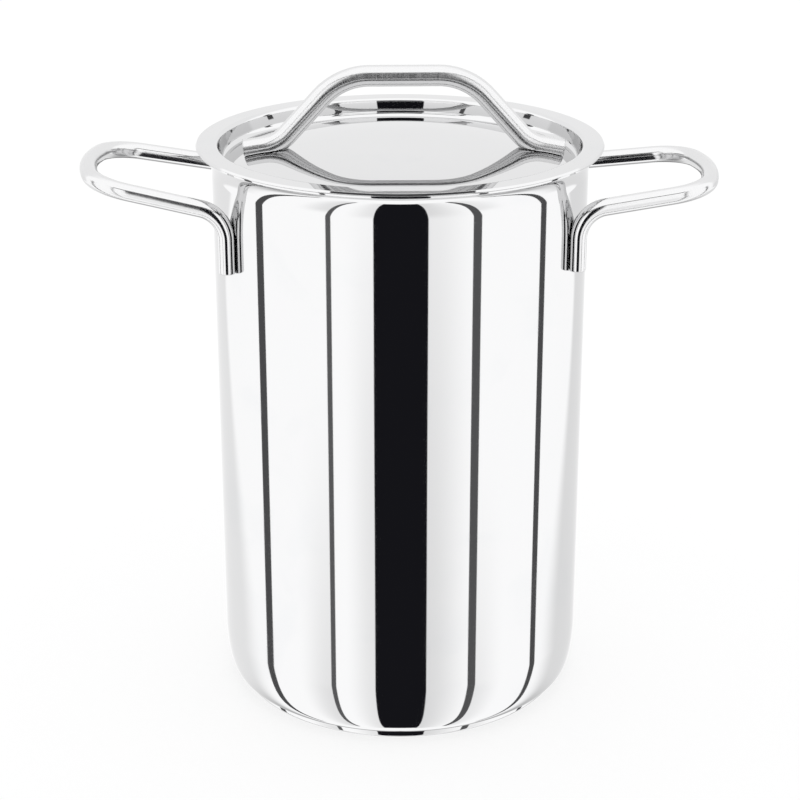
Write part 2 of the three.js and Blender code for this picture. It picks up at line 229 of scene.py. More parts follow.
base_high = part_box("base_capsule")[1]
cup, cup_top = base_high.x, base_high.z
edge_x, shoulder_x, shoulder_y = cup - CUP_EDGE, cup - CUP_SHOULDER, cup_top - CUP_SHOULDER
cup_inner = CUP_SHOULDER - CUP_SHEET
cup_side = np.vstack([
    run((0, CUP_SHEET), (edge_x, CUP_SHEET), 16),
    arc(edge_x, CUP_EDGE, CUP_EDGE - CUP_SHEET, CUP_EDGE - CUP_SHEET, -90, 0, 10),
    arc(shoulder_x, shoulder_y, cup_inner, cup_inner, 0, 90),
    arc(shoulder_x, shoulder_y, CUP_SHOULDER, CUP_SHOULDER, 90, 0),
    arc(edge_x, CUP_EDGE, CUP_EDGE, CUP_EDGE, 0, -90, 10),
])
cup_underside = run((edge_x, 0), (0, 0), 16)
cup_mesh = make_mesh("polished_base_capsule", turned(np.vstack([cup_side, cup_underside])),
                     finish=two_finishes(cup_side, cup_underside))
base_capsule = make_piece("polished_base_capsule", cup_mesh, "pot", "polished_steel", "base_capsule")

# %% [markdown]
# ## Lid
# The lid's flange lies on the rim, its short wall goes down inside the mouth, and its floor is crowned like
# a very shallow dome. A mirror tells its own shape: the floor's crown squeezes the mirror image of the
# handle to a third of its height, and the wall at the back shows the studio's dark gap as three dashes,
# whose rows give the wall's lean, the foot's round and the floor's depth. The wall leans out, as a drawn
# wall must to leave its die, and the flange's edge is trimmed at a slant.

# %% Lid pan
LID_DRAFT = 5.2
LID_LIP = 1.7 * MM
LID_DEPTH = 8.2 * MM
LID_CROWN = 5.58 * MM
LID_CROWN_POWER = 4.27
LID_FOOT_X = 75.0 * MM
LID_FOOT = np.array([2.48, 2.87]) * MM
LID_SLANT = 0.42 * MM
LID_EASE = 0.12 * MM

lid_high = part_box("lid_pan")[1]
flange, flange_top = lid_high.x, lid_high.z
flange_under = flange_top - SHEET
floor_edge = flange_top - LID_DEPTH
draft = math.radians(LID_DRAFT)


def foot_turn(slope):
    """How far an ellipse like the foot has turned from its lowest point, where its tangent has a slope."""
    return math.atan(LID_FOOT[0] / LID_FOOT[1] * slope)


def foot_ends():
    """Turn of the foot's two ends and the floor's reach: the reach sets the floor's slope at its edge, and
    that slope sets the reach, so the two are worked out together in a few rounds."""
    reach = LID_FOOT_X
    for _ in range(4):
        inner = foot_turn(LID_CROWN * LID_CROWN_POWER / reach)
        reach = LID_FOOT_X - LID_FOOT[0] * math.sin(inner)
    return inner, foot_turn(1 / math.tan(draft)), reach


inner_turn, outer_turn, floor_reach = foot_ends()
lid_foot_y = floor_edge + LID_FOOT[1] * math.cos(inner_turn)
print("the lid's floor reaches", round(floor_reach / MM, 2), "mm and rises by", LID_CROWN / MM, "mm")


def lid_floor(radius):
    """Height of the lid's floor, which falls from the middle with a power of the radius."""
    return floor_edge + LID_CROWN * (1 - (radius / floor_reach) ** LID_CROWN_POWER)


def lid_floor_points(depth, steps=40):
    """Points of the floor from the middle to its edge, moved down by depth, square to the floor."""
    radius = np.linspace(0, floor_reach, steps, endpoint=False)
    slope = LID_CROWN * LID_CROWN_POWER / floor_reach * (radius / floor_reach) ** (LID_CROWN_POWER - 1)
    tilt = np.arctan(slope)
    return np.stack([radius - depth * np.sin(tilt), lid_floor(radius) - depth * np.cos(tilt)], axis=-1)


def lid_foot(depth, steps=32):
    """Points of the elliptical foot from the floor's edge to the wall, made wider and taller by depth."""
    wide, tall = LID_FOOT + depth
    turns = math.degrees(-inner_turn) - 90, math.degrees(outer_turn) - 90
    return arc(LID_FOOT_X, lid_foot_y, wide, tall, *turns, steps)


def up_the_wall(depth, height):
    """Radius at a height on the line of the leaning wall, moved out by depth, square to the wall."""
    x, y = lid_foot(0)[-1]
    return x + depth / math.cos(draft) + (height - y) * math.tan(draft)


slant = math.degrees(math.atan2(LID_SLANT, SHEET - 2 * LID_EASE))
lip_x, lip_y = up_the_wall(LID_LIP, flange_top - LID_LIP), flange_top - LID_LIP
lip = arc(lip_x, lip_y, LID_LIP, LID_LIP, 180 - LID_DRAFT, 90, 20)
slant_top = arc(flange - LID_SLANT - LID_EASE, flange_top - LID_EASE, LID_EASE, LID_EASE, 90, slant, 8)
slant_foot = arc(flange - LID_EASE, flange_under + LID_EASE, LID_EASE, LID_EASE, slant, -90, 16)
lid_top_side = np.vstack([
    lid_floor_points(0),
    lid_foot(0),
    run(lid_foot(0)[-1], lip[0], 12)[1:-1],
    lip,
    run(lip[-1], slant_top[0], 12)[1:-1],
    slant_top,
    run(slant_top[-1], slant_foot[0], 8)[1:-1],
    slant_foot,
    run(slant_foot[-1], (up_the_wall(SHEET, flange_under), flange_under), 12)[1:],
])
lid_under_side = np.vstack([lid_foot(SHEET)[::-1], lid_floor_points(SHEET)[::-1]])
lid_mesh = make_mesh("polished_lid_pan", turned(np.vstack([lid_top_side, lid_under_side])),
                     finish=two_finishes(lid_top_side, lid_under_side))
lid_pan = make_piece("polished_lid_pan", lid_mesh, "lid", "polished_steel", "lid_pan")

# %% [markdown]
# ## Bent rod handles
# Each handle is one length of round steel rod, bent cold round formers and then welded on. So its middle
# line is made of straight runs and true arcs, and its section stays round. A curve with a round bevel could
# do it. Here the line is worked out bend by bend, because the rod's sides then turn with the bends without a
# twist, and because the legs can be pressed flat on the wall afterwards, as the welding press does.

# %% Rod helpers
ROD_SIDES = 48
BEND_STEPS = 28
RUN_STEPS = 8
END_EASE = 0.5 * MM
EASE_STEPS = 6


def unit(v):
    """The same direction, one metre long."""
    return v / np.linalg.norm(v, axis=-1, keepdims=True)


def bent_line(corners, bends, across):
    """Middle line of a bent rod: straight runs between corners, each corner rounded to an arc of its own
    radius. Returns points and, for each, a side direction that starts as across. In a bend by angle t round
    axis k, a point is start + into r sin t + inward r (1 - cos t), and the side direction is turned round k
    by t."""
    corners = np.asarray(corners, float)
    ahead = unit(np.diff(corners, axis=0))
    points, sides = [corners[:1]], [across[None]]
    for corner, radius, into, out in zip(corners[1:-1], bends, ahead, ahead[1:]):
        angle = math.acos(into @ out)
        axis = unit(np.cross(into, out))
        inward = np.cross(axis, into)
        start = corner - into * radius * math.tan(angle / 2)
        t = np.linspace(0, angle, BEND_STEPS + 1)[:, None]
        points.append(run(points[-1][-1], start, RUN_STEPS)[1:-1])
        sides.append(np.repeat(across[None], RUN_STEPS - 1, axis=0))
        points.append(start + into * radius * np.sin(t) + inward * radius * (1 - np.cos(t)))
        sides.append(across * np.cos(t) + np.cross(axis, across) * np.sin(t)
                     + axis * (axis @ across) * (1 - np.cos(t)))
        across = sides[-1][-1]
    points.append(run(points[-1][-1], corners[-1], RUN_STEPS)[1:])
    sides.append(np.repeat(across[None], RUN_STEPS, axis=0))
    return np.vstack(points), np.vstack(sides)


def rod(line, sides, diameter, around=ROD_SIDES, ease=END_EASE):
    """A round rod along a line: each ring lies at point + radius (side cos a + third sin a). Its cut ends
    are flat, and their rims are eased by a quarter circle."""
    radius = diameter / 2
    t = np.radians(np.linspace(90, 0, EASE_STEPS + 1))
    inset = np.concatenate([[0], ease * (1 - np.sin(t))])
    narrow = np.concatenate([[0], radius - ease * (1 - np.cos(t))])
    along = unit(np.gradient(line, axis=0))
    along[0], along[-1] = unit(line[1] - line[0]), unit(line[-1] - line[-2])
    head = line[0] + inset[:, None] * along[0]
    tail = line[-1] - inset[::-1, None] * along[-1]
    points = np.vstack([head, line[1:-1], tail])
    ends, last = len(inset), len(line) - 1
    radii = np.concatenate([narrow, np.full(last - 1, radius), narrow[::-1]])
    at_ring = np.concatenate([np.zeros(ends, int), np.arange(1, last), np.full(ends, last)])
    side, tangent = sides[at_ring], along[at_ring]
    side = unit(side - tangent * np.sum(side * tangent, axis=1, keepdims=True))
    third = np.cross(tangent, side)
    a = np.linspace(0, 2 * np.pi, around, endpoint=False)[None, :, None]
    return points[:, None] + radii[:, None, None] * (side[:, None] * np.cos(a) + third[:, None] * np.sin(a))


# %% [markdown]
# ## Side handles
# Seen from above, a bow is two straight arms, two tight corners and one wide bend between them. The two
# bows were set by hand and don't rise alike. Each leg stands flat against the wall.

# %% Side handles
WELD_GAP = 0.3 * MM
HANDLE_ROD = 7.4 * MM
HANDLE_PRESS = 1.5 * MM
HANDLE_TIP = 134.9 * MM
HANDLE_TIP_BOW = 6.7 * MM
HANDLE_CORNER = 32.3 * MM
HANDLE_ROOT = 228.9 * MM
HANDLE_LEG = 25.5 * MM
HANDLE_BENDS = np.array([13, 21, 72, 21, 13]) * MM
HANDLE_RISE = {"left_handle": 12.1 * MM, "right_handle": 7.4 * MM}
LEG_TURN = math.radians(28.6)


def side_handle(side, rise):
    """Grid of one side handle, side 1 or -1 along X: a bow between two legs, and every point that would lie
    inside the radius of the wall is moved straight out to it."""
    seat = WALL + WELD_GAP
    middle = seat + HANDLE_ROD / 2 - HANDLE_PRESS
    x, y, z = middle * math.cos(LEG_TURN), middle * math.sin(LEG_TURN), HANDLE_ROOT
    corner_x = HANDLE_TIP - HANDLE_TIP_BOW
    corner_z = z + rise * (corner_x - x) / (HANDLE_TIP - x)
    half = np.array([[x, y, z - HANDLE_LEG], [x, y, z], [corner_x, HANDLE_CORNER, corner_z]])
    tip = np.array([[HANDLE_TIP, 0, z + rise]])
    corners = np.vstack([half, tip, half[::-1] * (1, -1, 1)]) * (side, 1, 1)
    away = unit((corners[2] - corners[1]) * (1, 1, 0))
    grid = rod(*bent_line(corners, HANDLE_BENDS, away), HANDLE_ROD)
    radius = np.hypot(grid[..., 0], grid[..., 1])
    push = np.maximum(radius, seat) / radius
    return grid * np.stack([push, push, np.ones_like(push)], axis=-1)


handles = []
for node, side in (("left_handle", -1), ("right_handle", 1)):
    mesh = make_mesh("bent_rod_" + node, side_handle(side, HANDLE_RISE[node]))
    handles.append(make_piece("bent_rod_" + node, mesh, "pot", "polished_steel", node))

# %% [markdown]
# ## Lid handle
# The arch's two ends lie on the crowned floor and are pressed flat on it. So the rod is made round first,
# and then every point that is below the floor is lifted onto it.

# %% Lid handle
LID_ROD = 9.1 * MM
LID_ROD_PRESS = 2.9 * MM
LID_ROD_SHIFT = 1.7 * MM
LID_ROD_PLACES = np.array([-68.8, -53.95, -27.0, 27.0, 53.95, 68.8]) * MM
LID_ROD_BENDS = np.array([18, 28, 28, 18]) * MM

arch_x = LID_ROD_PLACES + LID_ROD_SHIFT
arch_z = lid_floor(np.abs(arch_x)) + WELD_GAP + LID_ROD / 2 - LID_ROD_PRESS
arch_z[2:4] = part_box("lid_handle")[1].z - LID_ROD / 2
arch_corners = np.stack([arch_x, np.zeros_like(arch_x), arch_z], axis=-1)
upward = unit(np.cross(arch_corners[1] - arch_corners[0], (0, 1, 0)))
arch_grid = rod(*bent_line(arch_corners, LID_ROD_BENDS, upward), LID_ROD)
floor_below = lid_floor(np.hypot(arch_grid[..., 0], arch_grid[..., 1])) + WELD_GAP
arch_grid[..., 2] = np.maximum(arch_grid[..., 2], floor_below)
arch_mesh = make_mesh("bent_rod_lid_handle", arch_grid)
handles.append(make_piece("bent_rod_lid_handle", arch_mesh, "lid", "polished_steel", "lid_handle"))

# %% [markdown]
# ## Wire basket
# The spears stand in a basket of welded wire, which is lifted out by two loops that fold down inside it.
# Rings are tori, and uprights and floor wires are short rods. They could be curves with a bevel. As arrays,
# their places come straight from the CAD nodes' boxes, so each wire lies exactly where its solid is.

# %% Basket rings
WIRE_SIDES = 20
RING_STEPS = 160
BASKET_WIRE = 3.0 * MM
TOP_WIRE = 4.0 * MM
RING_OUTSIDE = 71.4 * MM


def ring(radius, wire, height):
    """A torus: at turn u and angle v round the wire, the point lies at radius + r cos v from the axis and
    at height + r sin v, where r is half the wire."""
    u = np.linspace(0, 2 * np.pi, RING_STEPS, endpoint=False)[:, None]
    v = np.linspace(0, 2 * np.pi, WIRE_SIDES, endpoint=False)[None]
    reach = radius + wire / 2 * np.cos(v)
    return np.stack([reach * np.cos(u), reach * np.sin(u), height + wire / 2 * np.sin(v) + 0 * u], axis=-1)


basket = []
ring_heights = {}
for node in sorted(n for n in frame["nodes"] if n.startswith("basket") and "ring" in n):
    low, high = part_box(node)
    wire = TOP_WIRE if "top" in node else BASKET_WIRE
    ring_heights[node] = (low.z + high.z) / 2
    mesh = make_mesh("wire_" + node, ring(RING_OUTSIDE - wire / 2, wire, ring_heights[node]), looped=True)
    basket.append(make_piece("wire_" + node, mesh, "basket", "basket_wire", node))

# %% Basket uprights, legs and floor wires
WIRE_EASE = 0.9 * MM
FLOOR_WIRE = 2.6 * MM


def box_ends(node):
    """The two ends of a wire that runs along the longest side of its node's box, and that side's number."""
    low, high = (np.array(c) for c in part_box(node))
    axis = int(np.argmax(high - low))
    ends = np.stack([low + high, low + high]) / 2
    ends[:, axis] = low[axis], high[axis]
    return ends, axis


def straight_wire(node, wire):
    """A round wire with eased ends through the middle of its node's box."""
    ends, axis = box_ends(node)
    line = run(ends[0], ends[1], RUN_STEPS)
    across = np.eye(3)[(axis + 1) % 3]
    return rod(line, np.repeat(across[None], len(line), axis=0), wire, WIRE_SIDES, WIRE_EASE)


straight = sorted(n for n in frame["nodes"] if n.startswith("basket") and "ring" not in n)
for node in straight:
    wire = FLOOR_WIRE if "floor_wire" in node else BASKET_WIRE
    mesh = make_mesh("wire_" + node, straight_wire(node, wire))
    basket.append(make_piece("wire_" + node, mesh, "basket", "basket_wire", node))

# %% [markdown]
# ## Folding loops and their sleeves
# Each loop is one wire whose two ends are turned outwards into short tubes under the top ring. The tubes
# let it fold down, so the lid can close. Loop and sleeves ride on different bodies, as the hinge needs.

# %% Loops and sleeves
LOOP_WIRE = 3.0 * MM
LOOP_REACH = 38.0 * MM
LOOP_LEG = 17.0 * MM
LOOP_BENDS = np.array([3, 10, 10, 3]) * MM
SLEEVE_BORE = 1.85 * MM
SLEEVE_OUTSIDE = 2.6 * MM
SLEEVE_EASE = 0.2 * MM
SLEEVE_SIDES = 32


def sleeve(start, end, x, z):
    """A short tube round a line along Y: a ring section with eased rims, turned round that line."""
    outer, inner = SLEEVE_OUTSIDE - SLEEVE_EASE, SLEEVE_BORE + SLEEVE_EASE
    first, last = start + SLEEVE_EASE, end - SLEEVE_EASE
    corners = ((outer, first, -90), (outer, last, 0), (inner, last, 90), (inner, first, 180))
    wall = np.vstack([arc(r, y, SLEEVE_EASE, SLEEVE_EASE, a, a + 90, 4) for r, y, a in corners])
    return turned(wall, SLEEVE_SIDES)[..., [1, 2, 0]] + (x, 0, z)


loops = []
sleeve_spots = []
for name in ("left_loop", "right_loop"):
    joint = next(j for j in frame["joints"] if j["child"] == name)
    x, _, z = joint["pos_m"]
    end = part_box(name)[1].y
    half = np.array([[x, -end, z], [x, -LOOP_LEG, z], [x, -LOOP_LEG, z - LOOP_REACH]])
    corners = np.vstack([half, half[::-1] * (1, -1, 1)])
    grid = rod(*bent_line(corners, LOOP_BENDS, np.array([1.0, 0, 0])), LOOP_WIRE, WIRE_SIDES)
    loops.append(make_piece("wire_" + name, make_mesh("wire_" + name, grid), name, "basket_wire", name))
    for node in (name + "_sleeve_front", name + "_sleeve_back"):
        low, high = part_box(node)
        mesh = make_mesh("tube_" + node, sleeve(low.y, high.y, x, z), looped=True)
        basket.append(make_piece("tube_" + node, mesh, "basket", "basket_wire", node))
        sleeve_spots.append((x, (low.y + high.y) / 2, z + SLEEVE_OUTSIDE))

# %% [markdown]
# ## Welds of the basket
# Where two wires cross, a resistance welder squeezes them together hot. That leaves a small bead at the
# crossing and a faint straw tint round it. The beads could be placed one by one. Here every crossing goes
# into one array of points, a bead is one small ball, and adding the two arrays makes them all. The same
# points also give each wire an attribute that says how near a weld is, which the wire's finish reads later.

# %% Weld points
bottom = ring_heights["basket_bottom_ring"]
stands = np.array([box_ends(n)[0][0] for n in straight if "upright" in n or "leg" in n])
stands = unit(stands[:, :2]) * (RING_OUTSIDE + WELD_GAP / 2)
rings = np.array(list(ring_heights.values()))
crossings = np.hstack([np.repeat(stands, len(rings), axis=0), np.tile(rings, len(stands))[:, None]])
lying_wires = np.array([box_ends(n)[0] for n in straight if "floor_wire" in n])
touch = bottom + BASKET_WIRE / 2 + WELD_GAP / 2
wire_ends = lying_wires.reshape(-1, 3) * (1, 1, 0) + (0, 0, touch)
over_tie = lying_wires[:, 0] * (0, 1, 0) + (0, 0, touch)
tie_ends = box_ends("basket_floor_tie")[0]
welds = np.vstack([crossings, wire_ends, over_tie, tie_ends, sleeve_spots])
print("the basket has", len(welds), "welds")

# %% Weld beads
BEAD = 1.35 * MM
BEAD_SQUASH = (1.0, 1.0, 0.85)


def ball(rows=9, around=14):
    """A unit ball: at height angle b and turn a, the point is (sin b cos a, sin b sin a, cos b)."""
    b = np.linspace(0, np.pi, rows)[:, None]
    a = np.linspace(0, 2 * np.pi, around, endpoint=False)[None]
    return np.stack([np.sin(b) * np.cos(a), np.sin(b) * np.sin(a), np.cos(b) + 0 * a], axis=-1)


beads = welds[:, None, None] + ball() * BEAD * np.array(BEAD_SQUASH)
bead_mesh = make_mesh("basket_weld_beads", beads)
basket.append(make_piece("basket_weld_beads", bead_mesh, "basket", "basket_wire"))

# %% Heat round the welds
HEAT_REACH = 3.2 * MM

for piece in basket + loops:
    points = np.empty(len(piece.data.vertices) * 3, np.float32)
    piece.data.vertices.foreach_get("co", points)
    nearest = np.linalg.norm(points.reshape(-1, 1, 3) - welds.astype(np.float32), axis=2).min(axis=1)
    heat = np.exp(-((nearest / HEAT_REACH) ** 2)) * (piece not in loops)
    piece.data.attributes.new("heat", "FLOAT", "POINT").data.foreach_set("value", heat.astype(np.float32))
print("heat is marked on", len(basket), "basket pieces")

# %% [markdown]
# ## Studio
# Polished steel has no look of its own: it shows the room. This room is a white tent of tall soft panels.
# The camera looks out through a wide gap between the two front panels, and that gap is the black stripe down
# the middle of the pot. Narrow gaps between the other panels are the thin dark lines, and a dark bar runs
# along the top of the front panels. Real cards round the pot could do it. Here the world's shader draws the
# room by direction, for glossy rays alone. Rays from the camera see plain white, and so does the floor.

# %% Node helpers
def socket_of(tree, node_type, output, inputs, **settings):
    """Adds a node, sets or links its inputs, and gives back one of its outputs."""
    node = tree.nodes.new(node_type)
    for key, value in settings.items():
        setattr(node, key, value)
    for key, value in inputs.items():
        if isinstance(value, bpy.types.NodeSocket):
            tree.links.new(value, node.inputs[key])
        else:
            node.inputs[key].default_value = value
    return node.outputs[output]


def calc(tree, operation, a, b=0.0, c=0.0):
    """One step of arithmetic on values."""
    return socket_of(tree, "ShaderNodeMath", 0, {0: a, 1: b, 2: c}, operation=operation)


def ease(tree, value, start, end, low=0.0, high=1.0):
    """A soft step: low before start, high after end, and a smooth S between them."""
    inputs = {"Value": value, "From Min": start, "From Max": end, "To Min": low, "To Max": high}
    return socket_of(tree, "ShaderNodeMapRange", 0, inputs, interpolation_type="SMOOTHSTEP")


def between(tree, value, start, end, soft):
    """A mask that is 1 from start to end, with soft borders."""
    rise = ease(tree, value, start - soft, start + soft)
    return calc(tree, "MULTIPLY", rise, ease(tree, value, end - soft, end + soft, 1.0, 0.0))


def mixed(tree, share, a, b):
    """a where share is 0, b where it is 1."""
    return calc(tree, "ADD", a, calc(tree, "MULTIPLY", share, calc(tree, "SUBTRACT", b, a)))


# %% Directions in the studio
LEAN = 0.1
LEAN_HEIGHTS = (-9, 28, 4)
LEAN_BEARINGS = (60, 90)

world = bpy.data.worlds.new("studio_tent")
world.use_nodes = True
scene.world = world
tent_tree = world.node_tree
tent_tree.nodes.clear()
direction = tent_tree.nodes.new("ShaderNodeSeparateXYZ")
tent_tree.links.new(socket_of(tent_tree, "ShaderNodeTexCoord", "Generated", {}), direction.inputs[0])
toward = calc(tent_tree, "MULTIPLY", direction.outputs["Y"], -1)
bearing = calc(tent_tree, "DEGREES", calc(tent_tree, "ARCTAN2", direction.outputs["X"], toward))
bearing = calc(tent_tree, "SUBTRACT", bearing, CAMERA_TURN)
height = calc(tent_tree, "DEGREES", calc(tent_tree, "ARCSINE", direction.outputs["Z"]))
# The right front panel leans in: between these heights, its edges stand a tenth nearer the camera's gap.
lean = calc(tent_tree, "MULTIPLY", between(tent_tree, height, *LEAN_HEIGHTS),
            ease(tent_tree, bearing, *LEAN_BEARINGS, 1.0, 0.0))
to_right = calc(tent_tree, "MULTIPLY", calc(tent_tree, "MAXIMUM", bearing, 0.0), LEAN)
bearing = calc(tent_tree, "MULTIPLY_ADD", lean, to_right, bearing)
print("bearing 0 is the camera's side of the tent, and height 0 is level")

# %% Front and side panels
PANEL_LIGHT = 1.0
EDGE_MARGIN = 2
PANEL_EDGES = (  # bearings of the edge and of full light, loss of light, heights where it starts and is full
    (-16, -36, 0.18, -12, -26),
    (17, 50, 0.27, 0, -32),
    (-46, -70, 0.22, -20, -32),
    (50, 72, 0.16, -22, -32),
)

tent = PANEL_LIGHT
for edge, bright, loss, start, end in PANEL_EDGES:
    outward = math.copysign(1, bright)
    past_edge = calc(tent_tree, "MULTIPLY", bearing, outward)
    past_edge = calc(tent_tree, "GREATER_THAN", past_edge, abs(edge) - EDGE_MARGIN)
    dim = calc(tent_tree, "MULTIPLY", past_edge, ease(tent_tree, bearing, bright, edge))
    dim = calc(tent_tree, "MULTIPLY", dim, ease(tent_tree, height, start, end))
    tent = calc(tent_tree, "MULTIPLY", tent, calc(tent_tree, "MULTIPLY_ADD", dim, -loss, 1.0))
print(len(PANEL_EDGES), "panel edges are dimmed towards the floor")

# %% Back of the studio, and a painted shadow below it
# The under tone is painted shadow: the floor in the pot's own shade, drawn into the world for glossy rays.
BACK_AND_SHADOW_TONES = {"left": 0.8, "right": 0.73, "high": 0.835, "under": 0.4}
BACK_MIDDLE, BACK_HIGH, PAINTED_SHADOW_HEIGHTS, BACK_END = (-5, 5), (-10, 10), (-32, -60), (38, 70)
# Two heights, and the bearings that belong to them.
BACK_FROM = (-18, -30, 134, 100)
BACK_FROM_HIGH = (-18, -14, 0.0, 18.0)
BACK_SOFT = (-18, -30, 5, 24)

aside = calc(tent_tree, "ABSOLUTE", bearing)
back = ease(tent_tree, bearing, *BACK_MIDDLE, BACK_AND_SHADOW_TONES["left"], BACK_AND_SHADOW_TONES["right"])
back = mixed(tent_tree, ease(tent_tree, height, *BACK_HIGH), back, BACK_AND_SHADOW_TONES["high"])
# Far below the back, the tone falls to that painted shadow of the pot on the floor.
back = mixed(tent_tree, ease(tent_tree, height, *PAINTED_SHADOW_HEIGHTS), back, BACK_AND_SHADOW_TONES["under"])
back_from = ease(tent_tree, height, *BACK_FROM)
back_from = calc(tent_tree, "SUBTRACT", back_from, ease(tent_tree, height, *BACK_FROM_HIGH))
back_soft = ease(tent_tree, height, *BACK_SOFT)
behind = ease(tent_tree, aside, back_from, calc(tent_tree, "ADD", back_from, back_soft))
behind = calc(tent_tree, "MULTIPLY", behind, ease(tent_tree, height, *BACK_END, 1.0, 0.0))
tent = mixed(tent_tree, behind, tent, back)
print("the back of the tent starts between bearings", BACK_FROM[3], "and", BACK_FROM[2])

# %% Gaps, bar and foot of the panels
PANEL_FOOT, PANEL_TOP = -65, 36.5
NARROW_GAPS = ((-43.6, 1.65, 0.1), (47.3, 2.75, 0.085))
SIDE_GAPS = ((-94.0, 3.1, 0.07), (96.6, 2.55, 0.07))
SIDE_TOP = 18
CAMERA_GAP_LEFT, CAMERA_GAP_RIGHT, CAMERA_GAP_TONE = -15.85, 16.9, 0.0075
BAR_FOOT, BAR_TOP, BAR_TONE = 37.5, 43.5, 0.06
BACK_GAP, BACK_GAP_TOP, BACK_GAP_TONE = 174, -10, 0.15
FOOT_LIGHT, FOOT_SIDES = 1.0, (100, 140)
GAP_SOFT, BAR_SOFT, END_SOFT, BACK_GAP_SOFT, FOOT_SOFT = 0.3, 0.6, 0.8, 1, 3

tall = between(tent_tree, height, PANEL_FOOT, PANEL_TOP, END_SOFT)
side_tall = between(tent_tree, height, PANEL_FOOT, SIDE_TOP, END_SOFT)
for gaps, reach in ((NARROW_GAPS, tall), (SIDE_GAPS, side_tall)):
    for place, half, tone in gaps:
        strip = between(tent_tree, bearing, place - half, place + half, GAP_SOFT)
        tent = mixed(tent_tree, calc(tent_tree, "MULTIPLY", strip, reach), tent, tone)
bar = calc(tent_tree, "MULTIPLY", between(tent_tree, height, BAR_FOOT, BAR_TOP, BAR_SOFT),
           between(tent_tree, bearing, NARROW_GAPS[0][0], NARROW_GAPS[1][0], BAR_SOFT))
tent = mixed(tent_tree, bar, tent, BAR_TONE)
rear = ease(tent_tree, aside, BACK_GAP - BACK_GAP_SOFT, BACK_GAP + BACK_GAP_SOFT)
rear = calc(tent_tree, "MULTIPLY", rear, ease(tent_tree, height, BACK_GAP_TOP, BACK_GAP_TOP - FOOT_SOFT))
tent = mixed(tent_tree, rear, tent, BACK_GAP_TONE)
under_front = calc(tent_tree, "MULTIPLY", ease(tent_tree, height, PANEL_FOOT, PANEL_FOOT - FOOT_SOFT),
                   ease(tent_tree, aside, *FOOT_SIDES, 1.0, 0.0))
tent = mixed(tent_tree, under_front, tent, FOOT_LIGHT)
middle = between(tent_tree, bearing, CAMERA_GAP_LEFT, CAMERA_GAP_RIGHT, GAP_SOFT)
tent = mixed(tent_tree, calc(tent_tree, "MULTIPLY", middle, tall), tent, CAMERA_GAP_TONE)
print("the camera's gap is", round(CAMERA_GAP_RIGHT - CAMERA_GAP_LEFT, 2), "degrees wide")

# %% [markdown]
# ## How bright the tent is
# Steel gives back about two thirds of the light. A tent is lit until the polished wall comes out white, so
# glossy rays see it brighter by that share. Then light that is mirrored once is white, and light that is
# mirrored twice, as beside the lid's wall, is grey. A paler steel in a dimmer tent would lose that.

# %% What each ray sees
COOL_LIGHT = 0.003
STEEL = 0.66
STEEL_WHITE = 0.95

rays = tent_tree.nodes.new("ShaderNodeLightPath")
bright = calc(tent_tree, "MULTIPLY", tent, STEEL_WHITE / STEEL)
seen = mixed(tent_tree, rays.outputs["Is Glossy Ray"], 1.0, bright)
cool = calc(tent_tree, "ADD", seen, COOL_LIGHT)
tone = socket_of(tent_tree, "ShaderNodeCombineColor", 0, {"Red": seen, "Green": seen, "Blue": cool})
background = socket_of(tent_tree, "ShaderNodeBackground", 0, {"Color": tone})
tent_tree.links.new(background, tent_tree.nodes.new("ShaderNodeOutputWorld").inputs["Surface"])
print("studio world has", len(tent_tree.nodes), "nodes")

# %% [markdown]
# ## Floor
# The pot stands on a white sweep that runs out of the picture. A real one is lit until it is pure white,
# and only a trace of shadow is left round the foot. A plain white floor would need too much light on the
# pot. So part of what the camera sees here is a white glow, and the rest is a lit surface that keeps the
# shadow.

# %% Floor
FLOOR_SIZE = 4.0
FLOOR_DROP = 0.3 * MM
FLOOR_GLOW = 0.72
GLOW_STRENGTH = 1.02

corner = FLOOR_SIZE / 2
floor_mesh = bpy.data.meshes.new("floor")
floor_corners = np.array([[-1, -1], [1, -1], [1, 1], [-1, 1]]) * corner
floor_mesh.from_pydata([(x, y, -FLOOR_DROP) for x, y in floor_corners.tolist()], [], [(0, 1, 2, 3)])
floor = bpy.data.objects.new("floor", floor_mesh)
scene.collection.objects.link(floor)
floor.visible_glossy = False

paint = bpy.data.materials.new("floor_white")
paint.use_nodes = True
tree = paint.node_tree
tree.nodes.clear()
lit = socket_of(tree, "ShaderNodeBsdfDiffuse", 0, {"Color": (1, 1, 1, 1)})
glow = socket_of(tree, "ShaderNodeEmission", 0, {"Color": (1, 1, 1, 1), "Strength": GLOW_STRENGTH})
rays = tree.nodes.new("ShaderNodeLightPath")
share = calc(tree, "MULTIPLY", rays.outputs["Is Camera Ray"], FLOOR_GLOW)
floor_shader = socket_of(tree, "ShaderNodeMixShader", 0, {0: share, 1: lit, 2: glow})
tree.links.new(floor_shader, tree.nodes.new("ShaderNodeOutputMaterial").inputs["Surface"])
floor_mesh.materials.append(paint)
print("floor:", FLOOR_SIZE, "m square")

# %% [markdown]
# ## Effects that the finishes share
# Polished sheet is never quite even: drawing leaves long shallow waves in it, the polishing wheel leaves
# fine lines, and wiping leaves faint soft marks. Several finishes need each of these at a different size, so
# each is a node group with named inputs. A group gives out only a value or a normal. The shader stays in the
# material.

# %% Group helper
def new_group(name, inputs, output, kind):
    """A shader node group: inputs maps each name to its socket type, and there is one output."""
    group = bpy.data.node_groups.new(name, "ShaderNodeTree")
    for key, socket_type in inputs.items():
        group.interface.new_socket(key, in_out="INPUT", socket_type=socket_type)
    group.interface.new_socket(output, in_out="OUTPUT", socket_type=kind)
    given = group.nodes.new("NodeGroupInput").outputs
    return group, given, group.nodes.new("NodeGroupOutput").inputs[0]


def use_group(tree, group, **inputs):
    """Places a group in a material with its own values and gives back its output."""
    return socket_of(tree, "ShaderNodeGroup", 0, inputs, node_tree=group)


